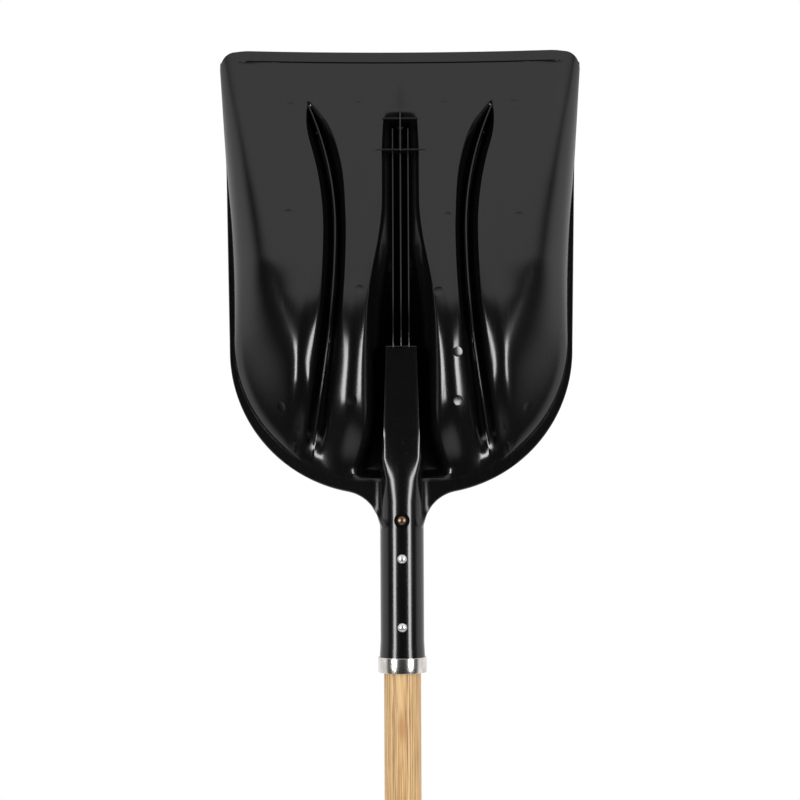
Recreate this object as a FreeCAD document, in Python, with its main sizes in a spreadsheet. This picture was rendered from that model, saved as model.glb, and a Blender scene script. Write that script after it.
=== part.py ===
import os
from math import acos, atan2, cos, hypot, pi, sin

import FreeCAD
import Part
import Sketcher

# Snow shovel. The origin is the middle of the flat butt of the handle, +Z runs up the handle to
# the blade, and the load side of the blade faces +Y. All lengths are in millimetres.
#
# The blade is drawn in its own frame: X across, Y from the tip edge towards the heel, Z from the
# back of the floor towards the load. In comments, "along" means that Y and "up" means that Z.

SIZES = [
    ("handle_length", 1300, "ash stick from the butt to its end in the socket"),
    ("handle_radius", 19, "straight part of the stick"),
    ("tenon_shoulder", 0.3, "step down to the part in the socket"),
    ("handle_end_radius", 13.7, "end of the tapered part"),
    ("handle_taper_length", 150, "tapered part, in the socket"),
    ("butt_round", 10, "rounding of the butt's edge"),
    ("socket_grip", 325, "length of stick in the socket"),
    ("socket_wall", 3.45, "wall of the tube"),
    ("socket_end_wall", 8, "closed end of the tube"),
    ("mouth_swell", 1, "how much wider the tube's mouth is"),
    ("mouth_flare", 18, "length of the cone between the tube and its mouth"),
    ("bore_clearance", 0.25, "round the stick and beyond its end"),
    ("ferrule_wall", 1.4, "sheet of the ferrule"),
    ("ferrule_length", 16, "height of the ferrule"),
    ("ferrule_clearance", 0.2, "round the mouth and the stick"),
    ("lift_angle", 20, "between the handle and the floor of the blade"),
    ("heel_height", 181, "from the socket's mouth to the heel's edge"),
    ("heel_offset", 1.3, "heel's edge in front of the handle's axis"),
    ("blade_length", 466, "tip edge to heel's edge, along the floor"),
    ("heel_half_width", 174, "half the width over the side walls at the heel"),
    ("side_flare_angle", 5, "side walls open towards the tip"),
    ("side_straight", 150, "side walls are straight from the tip edge to here"),
    ("heel_arc_radius", 149, "arcs of the wall round the heel"),
    ("tip_corner_radius", 14, "corners of the tip edge"),
    ("tip_sag", 3, "hollow of the tip edge"),
    ("tip_band_width", 12, "thicker band behind the tip edge"),
    ("tip_band_height", 0.6, "how far the band stands out at the back"),
    ("rim_height_tip", 18, "side wall at the tip edge"),
    ("rim_height_heel", 86, "side wall at the heel's edge"),
    ("wall", 3.2, "thickness of the moulding"),
    ("floor_bend_length", 191, "the floor curves up over this length before the heel's edge"),
    ("floor_bend_radius", 230, "back of the floor where it curves up to the heel"),
    ("foot_radius", 27, "outer rounding between floor and walls"),
    ("flange_side", 4, "rim flange beyond the side walls"),
    ("flange_run_in", 7, "rim flange inside the walls at the tip edge"),
    ("flange_heel", 12, "rim flange beyond the wall at the heel"),
    ("flange_arc_radius", 151, "rim flange's arcs round the heel"),
    ("flange_thickness", 3.2, "rim flange"),
    ("web_radius", 40, "hollow sides of the web between the flange and the socket"),
    ("rib", 1.8, "thickness of the thin ribs"),
    ("spine_neck_half", 18, "half the width of the spine's hollow at the neck"),
    ("spine_side_gap", 10.1, "beside the socket, in the spine's hollow"),
    ("spine_foot_half", 60, "half the width of the spine's hollow at the heel"),
    ("spine_neck_height", 22, "top of the spine's neck"),
    ("spine_ramp_start", 40, "the spine rises from the floor here"),
    ("spine_ramp_end", 80, "end of the ramp"),
    ("spine_nose", 53, "full width of the spine ahead of the socket's closed end"),
    ("spine_flare", 65, "length over which the neck widens"),
    ("spine_foot", 50, "length over which the hollow widens at the heel"),
    ("spine_heel_gap", 16, "from the end of the spine's hollow to the heel's edge"),
    ("spine_cover", 2.5, "spine's top above the straight tube"),
    ("side_rib_offset", 8, "ribs beside the middle rib of the spine"),
    ("cross_rib_place", 116, "second cross rib of the spine"),
    ("cross_rib_half", 27, "half the length of the second cross rib"),
    ("ridge_middle", 67.5, "ridge nearest to the middle line"),
    ("ridge_waist", 208, "where it is nearest"),
    ("ridge_tip_radius", 373, "ridge's arc towards the tip"),
    ("ridge_heel_radius", 1000, "ridge's arc towards the heel"),
    ("ridge_start", 59, "ridge's hollow starts here"),
    ("ridge_heel_gap", 40, "from the end of the ridge's hollow to the heel's edge"),
    ("ridge_half", 12, "half the width of the ridge's hollow"),
    ("ridge_height", 20, "ridge's top above the back of the floor"),
    ("ridge_ramp", 20, "length of the ramp at the ridge's start"),
    ("rivet_radius", 2.4, "rivet shanks"),
    ("rivet_clearance", 0.1, "round the shanks"),
    ("rivet_head_radius", 5, "domed heads"),
    ("rivet_head_height", 2.8, "domed heads"),
    ("rivet_peen_radius", 3.8, "peened ends"),
    ("rivet_peen_height", 1.8, "peened ends"),
    ("seat_depth", 0.8, "flat seats in the tube for heads and washers"),
    ("seat_clearance", 0.3, "round heads and washers"),
    ("washer_radius", 6.2, "washers"),
    ("washer_thickness", 1.3, "washers"),
    ("rivet_low", 46, "lower rivet above the socket's mouth"),
    ("rivet_high", 116, "upper rivet above the socket's mouth"),
    ("screw_place", 155, "screw above the socket's mouth"),
    ("screw_radius", 2, "screw's shank"),
    ("screw_length", 30, "screw under its head"),
    ("screw_head_radius", 4.8, "screw's head"),
    ("screw_head_height", 1.8, "screw's head"),
    ("recess_radius", 8, "round recess for the screw's head"),
    ("recess_web", 1.0, "plastic left under the screw's head"),
]

# Radii of the turned-down stick and of the tube round it.
TENON = "(Sizes.handle_radius - Sizes.tenon_shoulder)"
SOCKET = f"({TENON} + Sizes.bore_clearance + Sizes.socket_wall)"
SOCKET_END = "(Sizes.handle_end_radius + Sizes.bore_clearance + Sizes.socket_wall)"
MOUTH_RADIUS = f"({SOCKET} + Sizes.mouth_swell)"
# Where the side walls become parallel and the heel's arcs begin, and where the flange's arcs begin.
BEND_END = "(Sizes.blade_length - Sizes.flange_heel - Sizes.heel_arc_radius)"
FLANGE_START = "(Sizes.blade_length - Sizes.flange_arc_radius)"
# Half the width over the side walls at the tip edge.
TIP_HALF = (f"(Sizes.heel_half_width + ({BEND_END} - Sizes.side_straight) * tan(Sizes.side_flare_angle / 2)"
            " + Sizes.side_straight * tan(Sizes.side_flare_angle))")
# Radius of the long arc of the side wall, between its straight stretch and the heel.
SIDE_RADIUS = f"(({BEND_END} - Sizes.side_straight) / sin(Sizes.side_flare_angle))"
# Where the floor starts to curve up.
FLOOR_BEND = "(Sizes.blade_length - Sizes.floor_bend_length)"
# Where the closed end of the socket is along the blade, at the handle's axis.
SOCKET_REACH = "(Sizes.socket_grip + Sizes.bore_clearance + Sizes.socket_end_wall - Sizes.heel_height)"
SOCKET_TOP = (f"(Sizes.blade_length + Sizes.heel_offset * sin(Sizes.lift_angle)"
              f" - {SOCKET_REACH} * cos(Sizes.lift_angle))")
# How far the working solids run past the shape that they cut or keep.
OVERRUN = 30
# Half the width of solids that span the whole blade, and the height and length that clear it.
SPAN = "(Sizes.heel_half_width * 2)"
CLEAR_HEIGHT = "(Sizes.rim_height_heel * 2)"
CLEAR_LENGTH = "(Sizes.blade_length * 1.3)"
# Steepest angle of the floor's curve.
FLOOR_TURN = 75
# Radius of a ridge's rounded heel end, as a share of half its width.
ROUND_END = 1.1
# How near to the floor's curve an edge has to be to count as lying on it.
TOLERANCE = 0.01
# Height of the socket's mouth above the butt.
MOUTH = "(Sizes.handle_length - Sizes.socket_grip)"


def rim(along):
    """Height of the rim at a place along the blade."""
    return (f"(Sizes.rim_height_tip + (Sizes.rim_height_heel - Sizes.rim_height_tip)"
            f" * ({along}) / Sizes.blade_length)")


def socket_axis(along):
    """Height of the handle's axis above the back of the floor, at a place along the blade."""
    return (f"(Sizes.rim_height_heel - (Sizes.blade_length - ({along})) * tan(Sizes.lift_angle)"
            f" - Sizes.heel_offset / cos(Sizes.lift_angle))")


def spine_top(along):
    """Height of the spine's top where it covers the socket."""
    return f"({socket_axis(along)} + {SOCKET} / cos(Sizes.lift_angle) + Sizes.spine_cover)"


def make_sheet(doc):
    sheet = doc.addObject("Spreadsheet::Sheet", "Sizes")
    for row, (name, value, note) in enumerate(SIZES, start=1):
        sheet.set(f"A{row}", name)
        sheet.set(f"B{row}", str(value))
        sheet.set(f"C{row}", note)
        sheet.setAlias(f"B{row}", name)
    doc.recompute()
    return sheet


def bind(item, **expressions):
    """Bind properties to expressions; a double underscore stands for a dot."""
    for name, expression in expressions.items():
        item.setExpression(name.replace("__", "."), str(expression))


def new_body(doc, name):
    body = doc.addObject("PartDesign::Body", name)
    body.Label = name
    return body


def arc_shape(start, end, radius, side):
    """Arc from start to end whose centre is on the given side of the chord: 1 left, -1 right."""
    chord = hypot(end[0] - start[0], end[1] - start[1])
    heading = atan2(end[1] - start[1], end[0] - start[0])
    turn = heading + side * acos(min(1.0, chord / (2 * radius)))
    centre = FreeCAD.Vector(start[0] + radius * cos(turn), start[1] + radius * sin(turn), 0)
    first = atan2(start[1] - centre.y, start[0] - centre.x)
    last = atan2(end[1] - centre.y, end[0] - centre.x)
    if side < 0:
        first, last = last, first
    circle = Part.Circle(centre, FreeCAD.Vector(0, 0, 1), radius)
    return Part.ArcOfCircle(circle, first, last if last > first else last + 2 * pi)


def sketch_outline(body, name, plane, corners):
    """Closed outline on an origin plane.

    Each corner is (x, y) or (x, y, radius, side), with the radius and side of the arc that starts
    there. Every corner and every radius is bound to the sheet.
    """
    doc = body.Document
    sheet = doc.getObject("Sizes")
    sketch = body.newObject("Sketcher::SketchObject", name)
    origin_plane = next(f for f in body.Origin.OriginFeatures if f.Role == plane)
    sketch.AttachmentSupport = [(origin_plane, "")]
    sketch.MapMode = "FlatFace"
    points = [(float(sheet.evalExpression(str(c[0]))), float(sheet.evalExpression(str(c[1]))))
              for c in corners]
    starts = []
    for index, corner in enumerate(corners):
        here = points[index]
        there = points[(index + 1) % len(corners)]
        if len(corner) == 2:
            sketch.addGeometry(Part.LineSegment(FreeCAD.Vector(*here, 0), FreeCAD.Vector(*there, 0)), False)
            starts.append((1, 2))
        else:
            radius = float(sheet.evalExpression(str(corner[2])))
            sketch.addGeometry(arc_shape(here, there, radius, corner[3]), False)
            starts.append((1, 2) if corner[3] > 0 else (2, 1))
    for index, corner in enumerate(corners):
        following = (index + 1) % len(corners)
        sketch.addConstraint(Sketcher.Constraint(
            "Coincident", index, starts[index][1], following, starts[following][0]))
        for kind, value, expression in (("DistanceX", points[index][0], corner[0]),
                                        ("DistanceY", points[index][1], corner[1])):
            row = sketch.addConstraint(Sketcher.Constraint(kind, -1, 1, index, starts[index][0], value))
            sketch.setExpression(f"Constraints[{row}]", str(expression))
        if len(corner) > 2:
            radius = float(sheet.evalExpression(str(corner[2])))
            row = sketch.addConstraint(Sketcher.Constraint("Radius", index, radius))
            sketch.setExpression(f"Constraints[{row}]", str(corner[2]))
    doc.recompute()
    return sketch


def both_sides(right):
    """Closed outline from the corners of its right half, listed in order with their arcs."""
    left = []
    for index in reversed(range(len(right))):
        x, y = right[index][:2]
        arc = right[index - 1][2:] if index else ()
        left.append((f"-({x})", y, *arc))
    return list(right) + left


def add_pad(body, name, sketch, length, both_ways=False):
    pad = body.newObject("PartDesign::Pad", name)
    pad.Profile = sketch
    if both_ways:
        pad.SideType = "Symmetric"
    bind(pad, Length=length)
    return pad


def plan_prism(doc, name, corners):
    """Outline in the plane of the floor, spread over the whole height, above and below."""
    body = new_body(doc, name)
    sketch = sketch_outline(body, name + "_outline", "XY_Plane", corners)
    add_pad(body, name + "_pad", sketch, f"{CLEAR_HEIGHT} * 2", both_ways=True)
    doc.recompute()
    return body


def side_prism(doc, name, corners):
    """Outline in the lengthwise middle plane, spread over the whole width."""
    body = new_body(doc, name)
    sketch = sketch_outline(body, name + "_outline", "YZ_Plane", corners)
    add_pad(body, name + "_pad", sketch, f"{SPAN} * 2", both_ways=True)
    doc.recompute()
    return body


def combine(doc, kind, name, base, tool):
    """Part::Cut or Part::Common of two objects."""
    item = doc.addObject("Part::" + kind, name)
    item.Label = name
    item.Base = base
    item.Tool = tool
    doc.recompute()
    return item


def fuse(doc, name, items):
    item = doc.addObject("Part::MultiFuse", name)
    item.Label = name
    item.Shapes = items
    item.Refine = False
    doc.recompute()
    return item


def mirror(doc, name, source):
    """The same piece on the other side of the middle plane."""
    item = doc.addObject("Part::Mirroring", name)
    item.Label = name
    item.Source = source
    item.Normal = FreeCAD.Vector(1, 0, 0)
    doc.recompute()
    return item


def add_cylinder_y(doc, name, radius, start, end, height):
    """Cylinder along Y from start to end, at a height on the handle's axis."""
    item = doc.addObject("Part::Cylinder", name)
    item.Label = name
    item.Placement.Rotation = FreeCAD.Rotation(FreeCAD.Vector(1, 0, 0), -90)
    bind(item, Radius=radius, Height=f"({end}) - ({start})",
         Placement__Base__y=start, Placement__Base__z=height)
    doc.recompute()
    return item


def revolved(doc, name, plane, axis, corners):
    """Closed half outline turned about an axis of its sketch."""
    body = new_body(doc, name)
    sketch = sketch_outline(body, name + "_outline", plane, corners)
    turned = body.newObject("PartDesign::Revolution", name + "_turned")
    turned.Profile = sketch
    turned.ReferenceAxis = (sketch, [axis])
    turned.Angle = 360
    doc.recompute()
    return body


def floor_curve(height):
    """The floor's side view at a height above its back, as corners from the tip to the heel."""
    radius = f"(Sizes.floor_bend_radius - ({height}))"
    return [
        (-OVERRUN, height),
        (FLOOR_BEND, height, radius, 1),
        (f"{FLOOR_BEND} + {radius} * sin({FLOOR_TURN})",
         f"Sizes.floor_bend_radius - {radius} * cos({FLOOR_TURN})"),
    ]


def reversed_curve(corners):
    """The same open curve run the other way."""
    turned = []
    for index in reversed(range(len(corners))):
        arc = ()
        if index and len(corners[index - 1]) > 2:
            arc = (corners[index - 1][2], -corners[index - 1][3])
        turned.append((*corners[index][:2], *arc))
    return turned


def wall_outline(inset):
    """Outline of the side and heel walls, moved in by an inset and open past the tip."""
    flare = "Sizes.side_flare_angle"
    bend_x = f"(Sizes.heel_half_width + {SIDE_RADIUS} - ({SIDE_RADIUS} + {inset}) * cos({flare}))"
    bend_y = f"({BEND_END} - ({SIDE_RADIUS} + {inset}) * sin({flare}))"
    heel_x = "(Sizes.heel_half_width - Sizes.heel_arc_radius)"
    right = [
        (f"{bend_x} + ({bend_y} + {OVERRUN}) * tan({flare})", -OVERRUN),
        (bend_x, bend_y, f"{SIDE_RADIUS} + {inset}", -1),
        (f"Sizes.heel_half_width - {inset}", BEND_END, f"Sizes.heel_arc_radius - {inset}", 1),
        (heel_x, f"{BEND_END} + Sizes.heel_arc_radius - {inset}"),
    ]
    return both_sides(right)


def foot_edges(shape, inset, sheet):
    """Names of the edges where the floor meets the walls."""
    start = float(sheet.evalExpression(FLOOR_BEND))
    radius = float(sheet.evalExpression(f"Sizes.floor_bend_radius - {inset}"))
    top = float(sheet.evalExpression("Sizes.floor_bend_radius"))
    names = []
    for number, edge in enumerate(shape.Edges, start=1):
        middle = edge.valueAt((edge.FirstParameter + edge.LastParameter) / 2)
        if middle.y < start:
            on_floor = abs(middle.z - (top - radius)) < TOLERANCE
        else:
            on_floor = abs(hypot(middle.y - start, middle.z - top) - radius) < TOLERANCE
        inside = abs(middle.x) < 1 and middle.y < start + 1
        if on_floor and not inside:
            names.append(f"Edge{number}")
    return names


def pan_block(doc, name, inset):
    """Block inside the walls and above the floor, moved in by an inset, with rounded feet."""
    sheet = doc.getObject("Sizes")
    body = new_body(doc, name)
    outline = sketch_outline(body, name + "_outline", "XY_Plane", wall_outline(inset))
    add_pad(body, name + "_pad", outline, CLEAR_HEIGHT)
    curve = floor_curve(inset)
    below = [*curve, (CLEAR_LENGTH, curve[-1][1]), (CLEAR_LENGTH, -OVERRUN), (-OVERRUN, -OVERRUN)]
    profile = sketch_outline(body, name + "_floor", "YZ_Plane", below)
    pocket = body.newObject("PartDesign::Pocket", name + "_floor_cut")
    pocket.Profile = profile
    pocket.SideType = "Symmetric"
    bind(pocket, Length=f"{SPAN} * 2")
    doc.recompute()
    rounding = body.newObject("PartDesign::Fillet", name + "_foot")
    rounding.Base = (pocket, foot_edges(pocket.Shape, inset, sheet))
    bind(rounding, Radius=f"Sizes.foot_radius - {inset}")
    doc.recompute()
    return body


def under_rim(doc, name, drop, thickness=CLEAR_HEIGHT):
    """Slab of a thickness under the plane of the rim, lowered by a drop."""
    top = [(CLEAR_LENGTH, f"{rim(CLEAR_LENGTH)} - {drop}"), (-OVERRUN, f"{rim(-OVERRUN)} - {drop}")]
    low = [(x, f"{y} - {thickness}") for x, y in reversed(top)]
    return side_prism(doc, name, low + top)


def make_flange(doc, tip_outline):
    """Rim flange, which runs out into the side walls towards the tip, and the web at the socket."""
    arc_x = "(Sizes.heel_half_width + Sizes.flange_side - Sizes.flange_arc_radius)"
    arc, web = "Sizes.flange_arc_radius", "Sizes.web_radius"
    flange_plan = plan_prism(doc, "flange_outline", both_sides([
        (f"{TIP_HALF} - Sizes.flange_run_in", 0),
        ("Sizes.heel_half_width + Sizes.flange_side", FLANGE_START, arc, 1),
        (arc_x, f"{FLANGE_START} + {arc}"),
    ]))
    # The web's hollow sides touch the flange's arcs and the sides of the socket.
    across = f"(({SOCKET} + {web} - {arc_x}) / ({arc} + {web}))"
    down = f"sqrt(1 - {across}^2)"
    web_plan = plan_prism(doc, "web_outline", both_sides([
        (f"{arc_x} + {arc} * {across}", f"{FLANGE_START} + {arc} * {down}", web, -1),
        (SOCKET, f"{FLANGE_START} + ({arc} + {web}) * {down}"),
    ]))
    slab = under_rim(doc, "flange_slab", 0, "Sizes.flange_thickness")
    flat = combine(doc, "Common", "flange_flat", fuse(doc, "flange_and_web", [flange_plan, web_plan]), slab)
    return combine(doc, "Common", "flange", flat, tip_outline)


def make_tip_outline(doc):
    """Everything behind the hollow tip edge and its rounded corners."""
    flare = "Sizes.side_flare_angle"
    corner = "Sizes.tip_corner_radius"
    corner_x = f"({TIP_HALF} - {corner} * tan({flare}) - {corner} / cos({flare}))"
    corner_y = f"({corner} - {corner} * sin({flare}))"
    outline = both_sides([
        (corner_x, 0, corner, 1),
        (f"{corner_x} + {corner} * cos({flare})", corner_y),
        (SPAN, corner_y),
        (SPAN, CLEAR_LENGTH),
    ])
    edge_radius = f"{corner_x}^2 / Sizes.tip_sag / 2 + Sizes.tip_sag / 2"
    outline[-1] = (*outline[-1][:2], edge_radius, -1)
    return plan_prism(doc, "tip_outline", outline)


def make_tip_band(doc, tip_outline):
    """Thicker band on the back of the floor, along the tip edge."""
    half = f"({TIP_HALF} - Sizes.foot_radius)"
    box = doc.addObject("Part::Box", "tip_band_box")
    bind(box, Length=f"2 * {half}", Width=f"Sizes.tip_band_width + {OVERRUN}",
         Height="Sizes.tip_band_height + Sizes.wall / 2", Placement__Base__x=f"-{half}",
         Placement__Base__y=f"-{OVERRUN}", Placement__Base__z="-Sizes.tip_band_height")
    return combine(doc, "Common", "tip_band", box, tip_outline)


def make_tray(doc):
    """Floor, side walls, heel and rim flange, before the spine and the ridges."""
    outer = pan_block(doc, "pan_outer", 0)
    inner = pan_block(doc, "pan_inner", "Sizes.wall")
    tip_outline = make_tip_outline(doc)
    lowered = combine(doc, "Common", "pan_under_rim", outer, under_rim(doc, "rim_trim", 0))
    trimmed = combine(doc, "Common", "pan_trimmed", lowered, tip_outline)
    additions = [make_flange(doc, tip_outline), make_tip_band(doc, tip_outline)]
    walls = fuse(doc, "pan_and_flange", [trimmed, *additions])
    return outer, combine(doc, "Cut", "tray", walls, inner)


def spine_outline(extra):
    """Plan of the spine's hollow, made wider all round by an extra."""
    neck = f"Sizes.spine_neck_half + {extra}"
    body = f"{SOCKET} + Sizes.spine_side_gap + {extra}"
    end = "(Sizes.blade_length - Sizes.spine_heel_gap)"
    return both_sides([
        (neck, f"Sizes.spine_ramp_start - {extra}"),
        (neck, f"{SOCKET_TOP} - Sizes.spine_nose - Sizes.spine_flare"),
        (body, f"{SOCKET_TOP} - Sizes.spine_nose"),
        (body, f"{end} - Sizes.spine_foot"),
        (f"Sizes.spine_foot_half + {extra}", f"{end} + {extra}"),
    ])


def spine_profile(drop, low):
    """Side view of the spine, its top lowered by a drop, down to a low level."""
    neck = f"(Sizes.spine_neck_height - {drop})"
    body_start = f"(({neck} - {spine_top(0)} + {drop}) / tan(Sizes.lift_angle))"
    return [
        ("Sizes.spine_ramp_start", low),
        (CLEAR_LENGTH, low),
        (CLEAR_LENGTH, f"{spine_top(CLEAR_LENGTH)} - {drop}"),
        (body_start, neck),
        ("Sizes.spine_ramp_end", neck),
        ("Sizes.spine_ramp_start", f"Sizes.wall - {drop}"),
    ]


def make_spine(doc):
    """The spine over the socket, as an outer solid and its hollow."""
    side = side_prism(doc, "spine_side", spine_profile(0, f"-{OVERRUN}"))
    plan = plan_prism(doc, "spine_plan", spine_outline("Sizes.wall"))
    whole = combine(doc, "Common", "spine_whole", side, plan)
    half_wall = "Sizes.wall / 2"
    curve = floor_curve(half_wall)
    below = [*curve, (CLEAR_LENGTH, curve[-1][1]), (CLEAR_LENGTH, f"-{OVERRUN} * 2"),
             (-OVERRUN, f"-{OVERRUN} * 2")]
    floor = combine(doc, "Common", "spine_floor", side_prism(doc, "under_floor", below),
                    under_rim(doc, "spine_rim", half_wall))
    solid = combine(doc, "Cut", "spine_solid", whole, floor)
    hollow_side = side_prism(doc, "spine_hollow_side", spine_profile("Sizes.wall", f"-{OVERRUN}"))
    hollow_plan = plan_prism(doc, "spine_hollow_plan", spine_outline(0))
    return solid, combine(doc, "Common", "spine_hollow", hollow_side, hollow_plan)


def add_box(doc, name, half_width, start, end):
    """Upright plate astride the middle plane, from start to end along the blade."""
    box = doc.addObject("Part::Box", name)
    bind(box, Length=f"2 * {half_width}", Width=f"({end}) - ({start})", Height=CLEAR_HEIGHT,
         Placement__Base__x=f"-{half_width}", Placement__Base__y=start)
    return box


def make_spine_ribs(doc, solid):
    """Three ribs along the spine's hollow, up to the closed end of the socket, and two across it."""
    half = "(Sizes.rib / 2)"
    end = f"{SOCKET_TOP} + {SOCKET_END} * sin(Sizes.lift_angle)"
    ribs = [
        add_box(doc, "middle_rib", half, "Sizes.spine_ramp_start", end),
        add_box(doc, "cross_rib_tip", "Sizes.spine_neck_half + Sizes.wall / 2",
                f"Sizes.spine_ramp_end - {half}", f"Sizes.spine_ramp_end + {half}"),
        add_box(doc, "cross_rib_heel", "Sizes.cross_rib_half",
                f"Sizes.cross_rib_place - {half}", f"Sizes.cross_rib_place + {half}"),
    ]
    for name, side in (("side_rib_right", 1), ("side_rib_left", -1)):
        rib = add_box(doc, name, half, "Sizes.spine_ramp_end + Sizes.side_rib_offset", end)
        bind(rib, Placement__Base__x=f"{side} * Sizes.side_rib_offset - {half}")
        ribs.append(rib)
    return combine(doc, "Common", "spine_ribs", fuse(doc, "spine_rib_plates", ribs), solid)


def ridge_edge(radius, offset, along):
    """Distance from the middle plane of a ridge's edge, offset from its middle line."""
    return (f"Sizes.ridge_middle + {radius}"
            f" - sqrt(({radius} - ({offset}))^2 - (Sizes.ridge_waist - ({along}))^2)")


def ridge_outline(half, extra):
    """Bowed plan of the right ridge, with a half width, and longer at both ends by an extra."""
    tip, heel = "Sizes.ridge_tip_radius", "Sizes.ridge_heel_radius"
    start, end = f"(Sizes.ridge_start - {extra})", f"(Sizes.blade_length - Sizes.ridge_heel_gap + {extra})"
    return [
        (ridge_edge(tip, f"-{half}", start), start, f"{tip} + {half}", -1),
        (f"Sizes.ridge_middle - {half}", "Sizes.ridge_waist", f"{heel} + {half}", -1),
        (ridge_edge(heel, f"-{half}", end), end, f"{half} * {ROUND_END}", -1),
        (ridge_edge(heel, half, end), end, f"{heel} - {half}", 1),
        (f"Sizes.ridge_middle + {half}", "Sizes.ridge_waist", f"{tip} - {half}", 1),
        (ridge_edge(tip, half, start), start),
    ]


def ridge_profile(top, low, extra):
    """Side view of a ridge between two heights above the back of the floor, with its ramp."""
    upper = floor_curve(top)
    start = f"(Sizes.ridge_start - {extra})"
    ramp_end = (f"{start} + Sizes.ridge_ramp", top)
    return [(start, low), ramp_end, *upper[1:], *reversed_curve(floor_curve(low))[:2]]


def ridge_piece(doc, name, half, top, low, extra, drop):
    """Right ridge's solid, hollow or rib, kept under the rim by a drop."""
    plan = plan_prism(doc, name + "_plan", ridge_outline(half, extra))
    side = side_prism(doc, name + "_side", ridge_profile(top, low, extra))
    bowed = combine(doc, "Common", name + "_bowed", plan, side)
    return combine(doc, "Common", name, bowed, under_rim(doc, name + "_rim", drop))


def make_ridges(doc, pan_outer):
    """Solids, hollows and middle ribs of the two ridges beside the spine."""
    whole = ridge_piece(doc, "ridge_whole", "(Sizes.ridge_half + Sizes.wall)", "Sizes.ridge_height",
                        "Sizes.wall / 2", "Sizes.wall", 0)
    solid = combine(doc, "Common", "ridge_right", whole, pan_outer)
    hollow = ridge_piece(doc, "hollow_right", "Sizes.ridge_half", "(Sizes.ridge_height - Sizes.wall)",
                         f"(-{OVERRUN})", 0, "Sizes.wall")
    rib = ridge_piece(doc, "ridge_rib_right", "(Sizes.rib / 2)", "(Sizes.ridge_height - Sizes.wall / 2)",
                      "(Sizes.rib / 2)", "Sizes.wall / 2", "Sizes.wall / 2")
    return [[piece, mirror(doc, piece.Name.replace("right", "left"), piece)]
            for piece in (solid, hollow, rib)]


def make_socket(doc):
    """Tapered tube from its mouth in the ferrule to its closed end in the spine."""
    taper = "(Sizes.handle_length - Sizes.handle_taper_length)"
    top = "Sizes.handle_length + Sizes.bore_clearance"
    mouth = f"({MOUTH} + Sizes.ferrule_clearance)"
    sleeve = f"({MOUTH} + Sizes.ferrule_length - Sizes.ferrule_wall)"
    return revolved(doc, "socket", "XZ_Plane", "V_Axis", [
        (0, mouth),
        (MOUTH_RADIUS, mouth),
        (MOUTH_RADIUS, sleeve),
        (SOCKET, f"{sleeve} + Sizes.mouth_flare"),
        (SOCKET, taper),
        (SOCKET_END, f"{top} + Sizes.socket_end_wall"),
        (0, f"{top} + Sizes.socket_end_wall"),
    ])


def tenon_outline(gap, start):
    """Half outline of the stick's turned-down and tapered part, made larger by a gap."""
    taper = "(Sizes.handle_length - Sizes.handle_taper_length)"
    top = f"(Sizes.handle_length + {gap})"
    return [
        (f"{TENON} + {gap}", start),
        (f"{TENON} + {gap}", taper),
        (f"Sizes.handle_end_radius + {gap}", top),
        (0, top),
    ]


def rivet_places():
    return [("lower", f"({MOUTH} + Sizes.rivet_low)"), ("upper", f"({MOUTH} + Sizes.rivet_high)")]


HEAD_SEAT = f"(-{SOCKET} + Sizes.seat_depth)"
WASHER_SEAT = f"({SOCKET} - Sizes.seat_depth)"
SCREW_SEAT = f"(-({TENON} + Sizes.bore_clearance + Sizes.recess_web))"
SCREW_HEIGHT = f"({MOUTH} + Sizes.screw_place)"


def make_blade(doc):
    """The one-piece moulding: tray, spine, ridges and socket, with its bore and its holes."""
    pan_outer, tray = make_tray(doc)
    spine, spine_hollow = make_spine(doc)
    ridges, ridge_hollows, ridge_ribs = make_ridges(doc, pan_outer)
    raised = fuse(doc, "raised_tray", [tray, spine, *ridges])
    hollows = fuse(doc, "hollows", [spine_hollow, *ridge_hollows])
    hollowed = combine(doc, "Cut", "hollowed_tray", raised, hollows)
    ribbed = fuse(doc, "ribbed_tray", [hollowed, make_spine_ribs(doc, spine), *ridge_ribs])
    lift = "Sizes.lift_angle"
    ribbed.Placement.Rotation = FreeCAD.Rotation(FreeCAD.Vector(1, 0, 0), -90)
    bind(ribbed, Placement__Rotation__Angle=f"-(90 + {lift})",
         Placement__Base__y=(f"Sizes.blade_length * sin({lift}) - Sizes.rim_height_heel * cos({lift})"
                             " + Sizes.heel_offset"),
         Placement__Base__z=(f"{MOUTH} + Sizes.heel_height + Sizes.blade_length * cos({lift})"
                             f" + Sizes.rim_height_heel * sin({lift})"))
    doc.recompute()
    head = fuse(doc, "head", [ribbed, make_socket(doc)])
    start = f"({MOUTH} - Sizes.ferrule_length)"
    bore = revolved(doc, "bore", "XZ_Plane", "V_Axis", [
        (0, start), *tenon_outline("Sizes.bore_clearance", start)])
    holes = [bore]
    for name, height in rivet_places():
        hole = "Sizes.rivet_radius + Sizes.rivet_clearance"
        past = f"{SOCKET} * 2"
        holes.append(add_cylinder_y(doc, f"hole_{name}", hole, f"-{past}", past, height))
        holes.append(add_cylinder_y(doc, f"head_seat_{name}", "Sizes.rivet_head_radius + Sizes.seat_clearance",
                                    f"-{past}", HEAD_SEAT, height))
        holes.append(add_cylinder_y(doc, f"washer_seat_{name}", "Sizes.washer_radius + Sizes.seat_clearance",
                                    WASHER_SEAT, past, height))
    holes.append(add_cylinder_y(doc, "recess", "Sizes.recess_radius", f"-{SOCKET} * 2",
                                SCREW_SEAT, SCREW_HEIGHT))
    holes.append(add_cylinder_y(doc, "screw_hole", "Sizes.screw_radius + Sizes.rivet_clearance",
                                f"-{SOCKET} * 2", 0, SCREW_HEIGHT))
    return combine(doc, "Cut", "blade", head, fuse(doc, "blade_holes", holes))


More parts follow.
